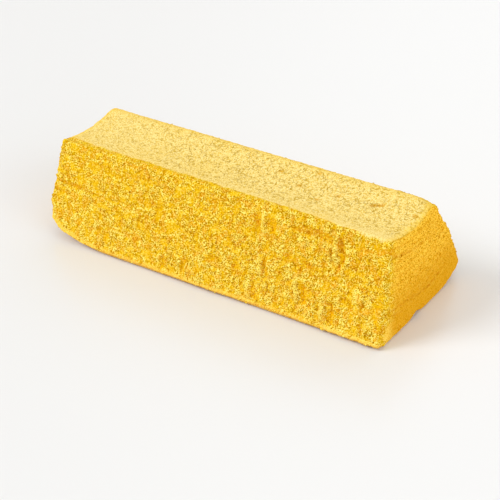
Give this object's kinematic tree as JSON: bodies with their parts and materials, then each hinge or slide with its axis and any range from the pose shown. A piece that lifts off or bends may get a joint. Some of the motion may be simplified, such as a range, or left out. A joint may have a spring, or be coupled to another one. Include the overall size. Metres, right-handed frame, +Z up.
{
  "type": "baumkuchen stick",
  "caption": "Stick of layered baumkuchen sponge, a wedge of a baked ring lying on its outer skin, with a shallow trough along the top and rough, torn cut faces.",
  "frame": {"origin": "under the middle of the stick's outer size, on the surface that it rests on", "axes": "+X along the stick towards the slanted end, +Y from the coarse front cut to the back cut, +Z up towards the roller side"},
  "size_m": [0.1486, 0.0628, 0.0368],
  "materials": {
    "sponge": null
  },
  "bodies": {
    "root": {"baumkuchen": "sponge"}
  },
  "joints": []
}
